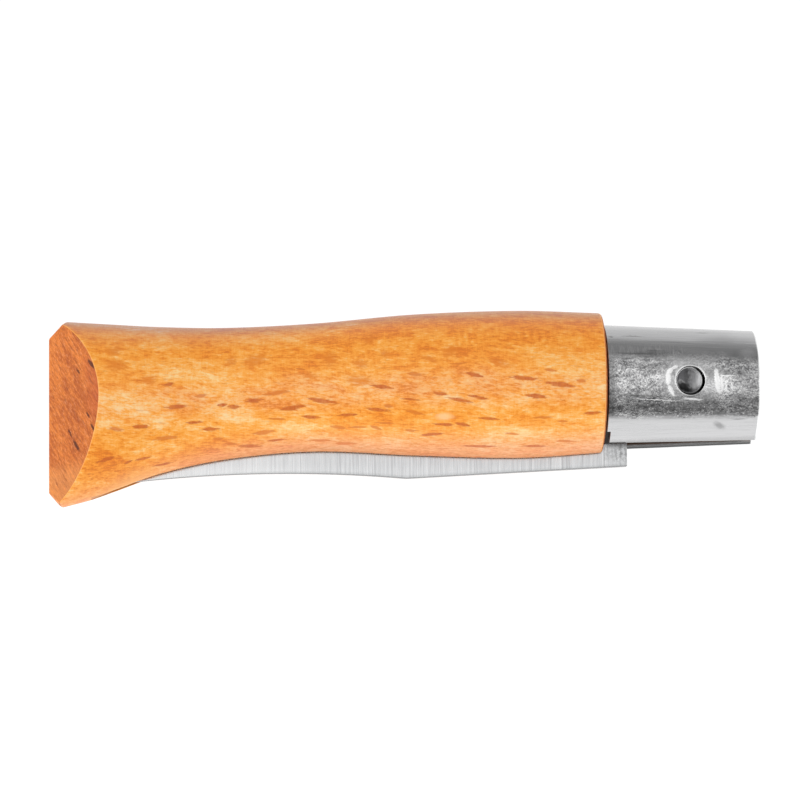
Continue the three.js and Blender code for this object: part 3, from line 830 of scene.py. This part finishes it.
collarLook = {                       # colours with one number are greys
    "steel": (0.5, 0.5, 0.505),
    "wire": (0.3, 0.3, 0.305),       # lines left by drawing the sheet
    # painted highlights: on the hole's burr, the punch's marks and the front rim
    "bright": 0.98,
    "beaten": 0.72,                  # smoother where the hammer has been
    "upper": 0.3,
    "cluster": 0.1,
    "combing": 0.85,
    "lower": 0.1,
    "frontScale": 0.15,
    "frontLine": 0.12,
    "spark": 0.75,
    "scratch": 0.14,
    # painted shade by the rear edge, next to the gap to the wood
    "rearEdgeShade": 0.13,
    # painted shade along the slit's lips
    "lip": 0.2,
    # painted shade on the tube's inside, seen through the slit
    "inner": 0.34,
    "grains": ((0.0, 0.06), (0.25, (0.2, 0.2, 0.205)), (0.5, (0.47, 0.47, 0.475)), (0.72, 0.7),
               (0.95, 1.0)),
    "lipHeights": (6.89, 6.22),      # of the slit's lips below the rivet, at the rear and at the front
    # marks: along, up, half length, half width, tilt
    "scratches": (
        (-6.65, 5.3, 1.3, 0.09, -1), (-9.1, 5.2, 0.3, 0.15, 0), (-6.6, 3.1, 2.4, 0.12, -1),
        (3.95, 2.4, 0.95, 0.12, 2), (3.1, -4.85, 0.8, 0.35, -20), (5.3, -4.2, 0.9, 0.08, 3),
        (3.85, 0.98, 0.42, 0.33, 0), (-2.2, 0.75, 0.55, 0.07, -84), (-2.9, 0.3, 0.33, 0.07, -86),
        (-4.2, 3.5, 1.2, 0.06, -2), (-6.0, -1.75, 3.1, 0.2, -1.5), (1.5, 5.9, 1.0, 0.07, 0),
        (5.4, 2.2, 0.6, 0.1, 4), (-7.4, 2.5, 1.0, 0.08, 0), (-5.5, -2.9, 2.0, 0.1, -1)),
    # painted highlights on the punch's arc, the blows beside the hole and a few lines near it
    "cutHighlights": (
        (-4.2, -2.2, 3.1, 0.045, -2.7), (-2.11, 1.5, 0.45, 0.2, 27), (-2.68, 1.07, 0.45, 0.27, 48),
        (-2.9, 0.3, 0.8, 0.3, -88), (-2.53, -1.17, 0.7, 0.22, -63), (2.7, 0.02, 1.35, 0.32, -83),
        (3.2, -0.2, 0.95, 0.17, -86), (3.68, -0.6, 0.6, 0.12, -86), (4.35, -0.7, 0.45, 0.08, -85),
        (3.9, 0.55, 0.8, 0.06, 0), (-0.1, -2.1, 1.1, 0.12, -5)),
    # lighter and darker places on the near side: along, up, half length, half width, gain
    "toneSpots": (
        (3.4, 0.85, 3.0, 0.6, -0.3), (3.2, -0.75, 2.4, 0.7, 0.4), (4.4, -2.8, 3.4, 0.5, 0.35),
        (-4.5, 3.0, 1.8, 0.5, -0.3), (-4.5, 1.6, 1.6, 0.4, -0.3), (-4.5, 0.1, 1.6, 0.5, 0.2),
        (6.4, 3.1, 1.1, 0.6, 0.5), (4.5, 4.9, 3.5, 0.5, -0.18), (-7.5, 2.2, 1.6, 0.3, 0.3),
        (6.3, -3.8, 1.0, 0.4, 0.25)),
}


def makeCollarSteel():
    look = collarLook
    steel = Recipe(bpy.data.materials.new("drawnSteel"))
    place = steel.place()
    x, y, z = steel.axes(place)
    away = steel.within(place, collar["holeShift"], (1, 1))
    wave = (steel.noise(place, (0.35, 0.8, 0.8), 3.0, 0.6) - 0.5) * 2.6
    beaten = steel.step(away, 4.6, 2.4)
    worked = steel.step(y + wave, 3.7, 1.5) * steel.step(y + wave, -4.2, -3.6) * (1 - beaten * 0.55)
    cells = {"Vector": steel.turned(place, (0.75, 1, 1)), "Scale": 8.5, "Randomness": 1.0}
    spark = steel.axes(steel.node("ShaderNodeTexVoronoi", {"feature": "F1"}, cells, "Color"))[0]
    crystal = steel.noise(place, (5.2, 4.2, 4.2), 2.0, 0.75)
    blotch = steel.noise(place, (0.7, 1.3, 1.3), 3.0, 0.7)
    drawn = steel.noise(place, (0.1, 1.4, 1.4))
    wire = steel.noise(place, (0.16, 5, 5), 3.0, 0.65)
    cluster = steel.noise(place, (0.45, 1.7, 1.7), 3.0, 0.7)
    combed = steel.noise(place, (5.0, 0.7, 0.7), 2.0, 0.7)

    # bands along the tube: plain above, scale that still shows in the middle, and a darker one below
    grains = spark * 0.52 + (crystal - 0.5) * 0.95 + 0.27 + (blotch - 0.5) * 1.4
    scaly = steel.ramp(grains, look["grains"])
    front = steel.step(x + wave * 0.4, 3.6, 5.6)
    upper = steel.step(y, 3.4, 4.6) * steel.step(y, 6.8, 5.8) * (0.35 - front * 0.25)
    lower = steel.step(y + wave * 0.6, -1.7, -2.4) * steel.step(y, -4.4, -3.6)
    combing = steel.step(abs(y - 3.2), 1.3, 0.3) * steel.step(combed, 0.45, 0.65)
    colour = steel.coats(
        look["steel"],
        (steel.step(wire, 0.45, 0.7) * 0.22, look["wire"]),
        (beaten * 0.35, look["beaten"]),
        (upper, look["upper"]),
        (worked * 0.9, scaly),
        (lower * steel.step(cluster, 0.42, 0.6) * 0.5, look["cluster"]),
        (combing * steel.step(x + wave, 0.0, -3.0) * 0.35, look["combing"]),
        (lower * steel.step(y, -2.2, -3.0) * 0.25, look["lower"]),
        (worked * front * 0.25, look["frontScale"]),
        (front * steel.step(abs(y - 2.7), 1.1, 0.3) * 0.3, look["frontLine"]))

    near = steel.step(z, 2.0, 2.5)
    ragged = steel.vector("ADD", place, steel.drift(place, (3, 6, 0), (0.35, 0.25, 0.0)))
    gain = 1.0
    for along, up, length, width, change in look["toneSpots"]:
        toneSpots = steel.step(steel.within(ragged, (along, up), (length, width)), 1.5, 0.3)
        gain = toneSpots * near * change + gain
    colour = steel.mix(1.0, colour, gain, "MULTIPLY")

    scratch = steel.step(steel.marks(ragged, look["scratches"]), 1.3, 0.2) * near
    # painted highlights where the dents' walls catch the light
    cutHighlight = steel.step(steel.marks(ragged, look["cutHighlights"]), 1.25, 0.7) * near
    ring = steel.step(away + (steel.noise(place, 2.4) - 0.5) * 0.35, 1.9, 1.76)
    # painted highlight on the upper left of the hole's burr
    burr = ring * steel.step(abs(z), 6.2, 6.4) * steel.step(x * 0.7 - y * 0.7, 1.3, 0.5)
    # painted shade by the rear edge, next to the gap to the wood
    rearShade = steel.step(x, collarRear + 1.1, collarRear + 0.4) * worked
    lip = y + steel.level(x, collarRear, rimX, *look["lipHeights"]) + (crystal - 0.5) * 0.4
    outside = steel.level(x, collarRear, rimX, collar["rearRadius"], collar["frontRadius"])
    radius = steel.vector("LENGTH", steel.turned(place, (0, 1, 1)), out=1)
    # the tube's inside: painted shade, seen through the slit
    inner = steel.step(radius - outside, -0.12, -0.3)
    lipMarks = steel.step(steel.noise(place, 1.8), 0.5, 0.62)
    colour = steel.coats(
        colour,
        (lower * steel.step(spark, 0.84, 0.94) * near * 0.4, look["spark"]),
        (scratch * 0.55, look["scratch"]),
        (burr * 0.75, look["bright"]),
        (cutHighlight, look["bright"]),
        (rearShade * 0.55, look["rearEdgeShade"]),
        # painted highlight along the front rim
        (steel.step(x, rimX - 0.16, rimX - 0.1) * 0.7, look["bright"]),
        # painted shade along the slit's lips, weaker towards the front
        (steel.step(lip, 0.62, 0.12) * steel.level(x, -4, 2, 0.6, 0.3), look["lip"]),
        (inner * (1 - lipMarks * 0.5), look["inner"]))

    rough = 0.17 + worked * 0.06 + steel.step(y, 3.0, 4.4) * 0.07 + cutHighlight * 0.25 + inner * 0.4
    plain = steel.bump(drawn + wire * 0.1, 0.028)
    grained = steel.bump(crystal * 0.6 + spark * 0.25, 0.05, steel.bump(drawn, 0.035))
    relief = {0: worked * 0.85 + 0.08, 4: plain, 5: grained}
    facing = steel.node("ShaderNodeMix", {"data_type": "VECTOR"}, relief, 1)
    return steel.paint(Base_Color=colour, Metallic=1.0, Roughness=rough, Normal=facing)


def makeCollar():
    mesh = bmesh.new()
    columns = collarColumns()
    half, notch = collarRows()
    rows = [(-1, row) for row in reversed(half[1:])] + [(1, row) for row in half]
    across, up = len(columns) - 1, len(rows) - 1
    bmesh.ops.create_grid(mesh, x_segments=across, y_segments=up, size=0.5)
    for vert in mesh.verts:
        x = columns[round((vert.co.x + 0.5) * across)]
        side, (angle, share) = rows[round((vert.co.y + 0.5) * up)]
        vert.co = (x, side * (sheetAngle(x, side, share, notch) if share else angle), 0)

    blockX, blockAngle = collar["block"]
    lost = []
    for face in mesh.faces:
        middle = face.calc_center_median()
        inBlock = abs(middle.x) < blockX and abs(abs(middle.y) - 90) < blockAngle
        notchAngle = between(collar["fineRound"][1], slitAngle(middle.x), notch)
        inNotch = middle.x < collarRear + collar["notchLength"] and abs(middle.y) > notchAngle
        if inBlock or inNotch:
            lost.append(face)
    bmesh.ops.delete(mesh, geom=lost, context="FACES")

    for side in (-1, 1):          # rings of faces from the square patch in to the round hole
        def spot(vert):           # the place along and up, as seen along the hole's axis
            return Vector((vert.co.x, collarRadius(vert.co.x) * math.cos(math.radians(vert.co.y))))

        def inPatch(vert):
            return abs(vert.co.x) < blockX + 0.01 and abs(abs(vert.co.y) - 90) < blockAngle + 0.01

        rim = [e for e in mesh.edges if e.is_boundary]
        rim = [e for e in rim if all(inPatch(v) and v.co.y * side > 0 for v in e.verts)]
        chain, walk = [rim[0].verts[0]], rim[0].verts[1]
        while walk is not chain[0]:
            chain.append(walk)
            onward = [e.other_vert(walk) for e in walk.link_edges if e in rim]
            walk = next(vert for vert in onward if vert is not chain[-2])
        starts = [spot(v) for v in chain]
        shift = Vector(collar["holeShift"])
        stops = [shift + (s - shift).normalized() * collar["holeRadius"] for s in starts]
        for ring in range(1, collar["holeRings"] + 1):
            t = ring / collar["holeRings"]
            points = []
            for start, stop in zip(starts, stops):
                x, y = start.lerp(stop, t)
                points.append((x, side * math.degrees(math.acos(y / collarRadius(x))), 0))
            chain = sweepLine(mesh, chain, points, closed=True)

    for vert in mesh.verts:       # the flat sheet is rolled up into the tapered tube
        angle, radius = math.radians(vert.co.y), collarRadius(vert.co.x)
        vert.co = (vert.co.x, radius * math.cos(angle), radius * math.sin(angle))
    bmesh.ops.recalc_face_normals(mesh, faces=mesh.faces)
    mesh.faces.ensure_lookup_table()
    sample = mesh.faces[0]
    if sample.normal.dot(sample.calc_center_median() * Vector((0, 1, 1))) < 0:
        bmesh.ops.reverse_faces(mesh, faces=mesh.faces)
    bmesh.ops.solidify(mesh, geom=mesh.faces[:], thickness=collar["wall"])
    bmesh.ops.recalc_face_normals(mesh, faces=mesh.faces)
    sharp = [e for e in mesh.edges if e.is_manifold and e.calc_face_angle() > math.radians(50)]
    softenEdges(mesh, sharp, collar["rimEase"], segments=2)
    for vert in mesh.verts:       # the near side takes the blows, and both the sheet's slight waves
        x, y, z = vert.co
        radius = math.hypot(y, z)
        if radius > collarRadius(x) - 0.15:
            wave = collar["waves"] * noise.noise(Vector((x * 0.35, y * 0.5, z * 0.5)))
            pushed = wave + (dentAt(x, y) if z > 0 else 0)
            vert.co = (x, y * (1 - pushed / radius), z * (1 - pushed / radius))
    placePiece(mesh, "steelCollar", "handle_group", "collar", makeCollarSteel(),
               sharp=collar["sharp"])


makeCollar()


# The blade

blade = {
    "halfThickness": 0.65,
    "tipHalfThickness": 0.275,
    "stepX": -6.99,
    "spineAtStep": 8.97,
    "spineAtClip": 10.35,
    "clipShare": 0.435,
    "clipHollow": 1.4,
    "pointDrop": 0.6,
    "ricasso": 2.1,
    "grindRun": 2.2,
    # the cutting edge's height at shares of the way from the ricasso to the point
    "edge": ((0, 2.4), (0.3, 2.75), (0.6, 1.5), (0.8, -2.3), (0.92, -6.5), (1, -10.6)),
    "edgeHalf": 0.06,
    "finalBevel": 0.45,
    "tangDepth": 3.7,
    "heel": 2.4,
    "softening": 0.05,
    "rivetHole": 1.66,
    # rows of faces: shares of the way from the spine to the edge, above and below the tang's corner
    "rowsAbove": (0.04, 0.1, 0.17, 0.24, 0.31, 0.39),
    "rowsBelow": (0.54, 0.61, 0.68, 0.75, 0.81, 0.87, 0.92),
}

stepX = blade["stepX"]
ricassoX = stepX - blade["ricasso"]
clipX = stepX - blade["clipShare"] * (stepX - pointX)
tangRoot = ricassoX + blade["ricasso"] / 4


def spineHeight(x):
    if x > clipX:
        return -between(blade["spineAtStep"], blade["spineAtClip"], (stepX - x) / (stepX - clipX))
    t = (clipX - x) / (clipX - pointX)
    return -blade["spineAtClip"] + 2 * t * (1 - t) * blade["clipHollow"] - t * t * blade["pointDrop"]


def tangTop(x):
    if x < 0:
        return between(blade["heel"], tangEnd, (x - tangRoot) / -tangRoot)
    return math.sqrt(max(tangEnd**2 - x**2, 0))


tangShare = (blade["spineAtStep"] - blade["tangDepth"]) / (blade["spineAtStep"] + tangTop(stepX))
bladeHeights = sorted([*blade["rowsAbove"], tangShare, *blade["rowsBelow"]])


def bladeRing(x):
    spine = spineHeight(x)
    edge = throughRows(blade["edge"], max((ricassoX - x) / (ricassoX - pointX), 0))[0]
    if x > tangRoot:
        edge = max(edge, tangTop(x))
    length = edge - spine
    half = between(blade["halfThickness"], blade["tipHalfThickness"], (stepX - x) / (stepX - pointX))
    half *= math.sqrt(min((x - pointX + 0.02) / 1.2, 1))
    grind = eased(ricassoX - x, 0, blade["grindRun"])
    final = min(blade["finalBevel"], length * 0.3)
    soft = min(blade["softening"], half * 0.4, length * 0.05)
    ring = [Vector((x, spine, 0)), Vector((x, spine, half - soft)),
            Vector((x, spine + soft * 0.3, half - soft * 0.3))]
    squeeze = min(1, (1 - final / length) / (1 - blade["finalBevel"] / 11))
    for height in [soft / length] + [h * squeeze for h in bladeHeights] + [1 - final / length, 1]:
        left = 1 - 0.55 * height - 0.45 * height**3.5
        ground = min(blade["edgeHalf"], half) + left * max(half - blade["edgeHalf"], 0)
        if height == 1:
            ground = 0.012
        ring.append(Vector((x, spine + height * length, between(half, ground, grind))))
    return ring + [Vector((x, edge, 0))]


def tangRing(x, count):
    low = -blade["tangDepth"] if x < 0 else -tangTop(x)
    high, half = tangTop(x), blade["halfThickness"]
    ring = [Vector((x, low, 0))]
    ring += [Vector((x, between(low, high, i / (count - 3)), half)) for i in range(count - 2)]
    return ring + [Vector((x, high, 0))]


bladeLook = {
    "steel": (0.8, 0.81, 0.82),
    "line": (0.42, 0.425, 0.435),    # grinding lines across the blade
    "band": (0.55, 0.555, 0.56),
    "bright": 1.0,
    # painted shade where the wood overhangs the blade
    "overhangShade": (0.4, 0.4, 0.41),
    "wearAndPaintedLight": 0.22,                    # spots at the root, in front of the grind, with painted shade towards the collar's lip
    "grindEnd": 0.2,
    "spine": (0.16, 0.16, 0.165),
}


def makeBladeSteel():
    look = bladeLook
    steel = Recipe(bpy.data.materials.new("groundSteel"))
    place = steel.place()
    x, y, _ = steel.axes(place)
    upward = steel.axes(steel.node("ShaderNodeTexCoord", out="Normal"))[1]
    line = steel.noise(place, (7.5, 0.1, 0.5), 3.0, 0.9)
    band = steel.noise(place, (1.1, 0.04, 0.3))
    spotted = steel.noise(place, (3.4, 2.4, 2.0), 3.0, 0.7)
    root = steel.step(x, -9.65, -9.55)
    wearAndPaintedLight = steel.step(spotted, 0.4, 0.65) * (steel.step(x, -9.0, -7.8) * 0.35 + 0.25) + 0.17
    colour = steel.coats(
        look["steel"],
        (steel.step(line, 0.45, 0.68) * 0.65, look["line"]),
        (steel.step(line, 0.46, 0.32) * 0.6, look["bright"]),
        (steel.step(band, 0.5, 0.75) * 0.16, look["band"]),
        (steel.step(x, -38, -52) * 0.45, look["bright"]),
        # painted shade where the wood overhangs the blade
        ((1 - root) * steel.step(y, -9.6, -8.6) * 0.12, look["overhangShade"]),
        # spots at the root, with painted shade towards the collar's lip
        (root * wearAndPaintedLight * steel.step(y, -9.3, -7.7), look["wearAndPaintedLight"]),
        (steel.step(abs(x + 9.6), 0.07, 0.03) * 0.4, look["grindEnd"]),
        (steel.step(upward, -0.5, -0.8), look["spine"]))
    return steel.paint(Base_Color=colour, Metallic=1.0, Roughness=0.22 + line * 0.1,
                       Normal=steel.bump(line, 0.003))


def makeBlade():
    mesh = bmesh.new()
    grindX = ricassoX - blade["grindRun"]
    places = evenSteps(pointX, pointX + 2, 0.2) + evenSteps(pointX + 2, grindX, 0.4)
    places += evenSteps(grindX, ricassoX, 0.2) + evenSteps(ricassoX, stepX, 0.5) + [stepX]
    chain = drawLine(mesh, bladeRing(places[0]))
    closeLoop(mesh, chain)
    for place in places[1:]:
        chain = sweepLine(mesh, chain, bladeRing(place))
    split = 4 + bladeHeights.index(tangShare)
    corner = bmesh.ops.create_vert(mesh, co=(stepX, -blade["tangDepth"], 0))["vert"][0]
    step = chain[: split + 1] + [corner]
    bmesh.ops.contextual_create(mesh, geom=[chain[split], corner])
    closeLoop(mesh, step)
    chain = [corner] + chain[split:]
    turns = [math.radians(turn) for turn in range(0, 91, 6)]
    for place in evenSteps(stepX, 0, 1.0)[1:] + [tangEnd * math.sin(turn) for turn in turns]:
        chain = sweepLine(mesh, chain, tangRing(place, len(chain)))
    mirrorAcross(mesh, "Z")
    drillAcross(mesh, blade["rivetHole"])
    placePiece(mesh, "foldingBlade", "blade", "blade", makeBladeSteel())


makeBlade()


# The rivet

rivet = {
    "radius": 1.6,
    "headRadius": 1.5,
    "headHeight": 0.4,
    "headEdge": ((-0.07, 0.01), (-0.04, 0), (-0.015, -0.03), (0, -0.08)),    # its rim: out, up
    "sink": 0.17,
    "dishRadius": 1.4,
    "dishDepth": 0.42,
    "headShift": (-0.47, 0.03),      # hand-peened: the heads sit a little off the shank
    "roughness": 0.08,
    "segments": 96,
}


rivetLook = {
    "steel": (0.3, 0.3, 0.305),
    # painted shade on the dish's left side
    "paintedLightTint": (0.13, 0.13, 0.135),
    "crease": 0.05,
    "toneSpots": 0.45,
    # painted shade in the dish's lower left
    "dishShadeGrey": 0.025,
    # painted shade on the head's rim, with a painted highlight on its upper left
    "rim": 0.16,
    "litRim": 1.0,
    "dish": (-0.47, 0.02),           # its middle, along and up
    # marks: along, up, half length, half width, tilt
    # painted shade in the dish's lower left
    "dishShade": ((-0.95, -0.7, 0.75, 0.42, -30), (-1.35, -0.85, 0.5, 0.3, 10)),
    # lighter spots
    "lightSpots": ((-1.35, -0.1, 0.4, 0.18, 0), (0.3, -0.55, 0.25, 0.45, -20)),
}


def makeRivetSteel():
    look = rivetLook
    steel = Recipe(bpy.data.materials.new("rivetSteel"))
    place = steel.place()
    x, y, _ = steel.axes(place)
    uneven = steel.vector("ADD", place, steel.drift(place, (1.4, 1.4, 0), (1.2, 1.2, 0.0), 3.0))
    # painted shade in the dish's lower left
    dishShade = steel.step(steel.marks(uneven, look["dishShade"]), 1.5, 0.5)
    lightSpots = steel.step(steel.marks(uneven, look["lightSpots"]), 1.4, 0.3)
    speck = steel.noise(place, (4.8, 2.4, 3.0), 3.0, 0.65)
    # painted shade: the dish is darker on its left side than on its right
    pale = steel.step(x + (speck - 0.5) * 2.4, -1.2, 0.4)
    crease = steel.step(abs(x + 0.75 + (speck - 0.5) * 1.2), 0.35, 0.1)
    # painted shade round the head's rim, and a painted highlight on its upper left
    rim = steel.step(steel.within(place, look["dish"], (1, 1)), 1.4, 1.46)
    colour = steel.coats(
        steel.mix(pale, look["paintedLightTint"], look["steel"]),
        (crease * 0.5, look["crease"]),
        (lightSpots * 0.5, look["toneSpots"]),
        (dishShade * 0.95, look["dishShadeGrey"]),
        (rim, look["rim"]),
        (rim * steel.step(y - x, 0.6, 1.6), look["litRim"]))
    return steel.paint(Base_Color=colour, Metallic=1.0, Roughness=0.36 + speck * 0.15,
                       Normal=steel.bump(speck, 0.03))


def makeRivet():
    mesh = bmesh.new()
    rim = collarRadius(0) - rivet["sink"]
    profile = []
    for i in range(15):
        t = i / 14
        profile.append(Vector((rivet["dishRadius"] * t, 0, rim - rivet["dishDepth"] * (1 - t**4.5))))
    head = rivet["headRadius"]
    profile += [Vector((head + out, 0, rim + up)) for out, up in rivet["headEdge"]]
    below = rim - rivet["headHeight"]
    profile += [Vector((head, 0, below)), Vector((rivet["radius"], 0, below - 0.1)),
                Vector((rivet["radius"], 0, 0))]
    chain = drawLine(mesh, profile)
    line = [mesh.edges.get(pair) for pair in zip(chain, chain[1:])]
    bmesh.ops.spin(mesh, geom=chain + line, cent=(0, 0, 0), axis=(0, 0, 1), angle=math.tau,
                   steps=rivet["segments"], use_merge=True)
    mirrorAcross(mesh, "Z")
    for vert in mesh.verts:
        x, y, z = vert.co
        share = eased(abs(z), rim - 1.2, below)          # only the heads move
        bumpy = noise.noise(Vector((x * 1.3, y * 0.9, z))) * eased(math.hypot(x, y), head, 1.2)
        rough = rivet["roughness"] * bumpy * share
        shiftX, shiftY = rivet["headShift"]
        vert.co = (x + shiftX * share, y + shiftY * share, z + math.copysign(rough, z))
    placePiece(mesh, "pivotRivet", "handle_group", "pivot_rivet", makeRivetSteel())


makeRivet()


# Camera, floor and light

view = {
    "distance": 600.0,        # millimetres from the target
    "roll": 7.3,              # degrees that the camera leans towards the belly
    "yaw": 4.0,               # and towards the butt
    "target": (-32.713, -1.373, 0.0),
    "lens": 237.97,           # millimetres, as is the sensor's width
    "sensor": 36.0,
    "clip": (0.01, 50.0),     # metres
}


def makeCamera():
    roll, yaw = math.radians(view["roll"]), math.radians(view["yaw"])
    back = Vector((-math.sin(yaw), -math.sin(roll) * math.cos(yaw), math.cos(roll) * math.cos(yaw)))
    right = (Vector((1, 0, 0)) - back * back.x).normalized()
    up = back.cross(right)
    data = bpy.data.cameras.new("camera")
    data.lens, data.sensor_width = view["lens"], view["sensor"]
    data.clip_start, data.clip_end = view["clip"]
    camera = bpy.data.objects.new("camera", data)
    place = pivot + (Vector(view["target"]) + back * view["distance"]) * mm
    turn = Matrix((right, up, back)).transposed()
    camera.matrix_world = Matrix.Translation(place) @ turn.to_4x4()
    scene.collection.objects.link(camera)
    scene.camera = camera


makeCamera()


studio = {
    # the light round the knife, by the angle from the back's horizon (0) to the belly's (1)
    "bands": ((0.0, 0.5), (0.04, 0.4), (0.08, 0.34), (0.17, 0.33), (0.225, 0.52), (0.27, 0.8),
              (0.38, 0.86), (0.48, 0.98), (0.56, 0.78), (0.62, 0.62), (0.67, 0.4), (0.73, 0.2),
              (0.79, 0.16), (0.82, 0.5), (0.86, 1.15), (0.92, 1.35), (1.0, 1.35)),
    "buttEnd": 2.6,           # added towards the butt, and towards the rim
    "rimEnd": 1.1,
    "paper": 0.12,            # a white table, lit from below so that it shows little shade
    "lamp": 1.3,
    "glow": 0.73,             # the lamp's share in the view
    "card": 0.96,             # on the belly's side
    "dim": 0.4,               # far off behind the back
    "floorHalf": 2.0,         # metres
    "floorDrop": 0.00005,
}


def makeStudio():
    world = bpy.data.worlds.new("studio")
    scene.world = world
    sky = Recipe(world)
    x, y, z = sky.axes(sky.node("ShaderNodeTexCoord", out="Generated"))
    angle = sky.node("ShaderNodeMath", {"operation": "ARCTAN2"}, {0: z, 1: y}) / math.pi
    bands = sky.ramp(angle, [(place, light / 2) for place, light in studio["bands"]])
    buttEnd = sky.step(x, -0.5, -0.95) * sky.step(z, 0.0, 0.2) * studio["buttEnd"]
    rimEnd = sky.step(x, 0.5, 0.95) * sky.step(z, 0.15, 0.4) * studio["rimEnd"]
    light = sky.axes(bands)[0] * 2 + buttEnd + rimEnd
    sky.feed(world.node_tree.nodes["Background"].inputs["Color"], light)


def makeFloor():
    mesh = bmesh.new()
    bmesh.ops.create_grid(mesh, x_segments=1, y_segments=1, size=studio["floorHalf"])
    bmesh.ops.translate(mesh, vec=(0, 0, -studio["floorDrop"]), verts=mesh.verts)
    data = bpy.data.meshes.new("floor")
    mesh.to_mesh(data)
    mesh.free()
    floor = bpy.data.objects.new("floor", data)
    paper = Recipe(bpy.data.materials.new("whiteTable"))
    y = paper.axes(paper.place())[1]
    glow = paper.mix(paper.step(y, -8.0, -22.0), studio["glow"], studio["card"])
    glow = paper.mix(paper.step(y, 46.0, 160.0), glow, studio["dim"])
    finish = paper.paint(Base_Color=rgba(studio["paper"]), Roughness=1.0, Specular_IOR_Level=0.0,
                         Emission_Color=glow, Emission_Strength=studio["lamp"])
    data.materials.append(finish)
    scene.collection.objects.link(floor)


makeStudio()
makeFloor()
scene.view_settings.view_transform = "Standard"
print("camera, light and table are set")
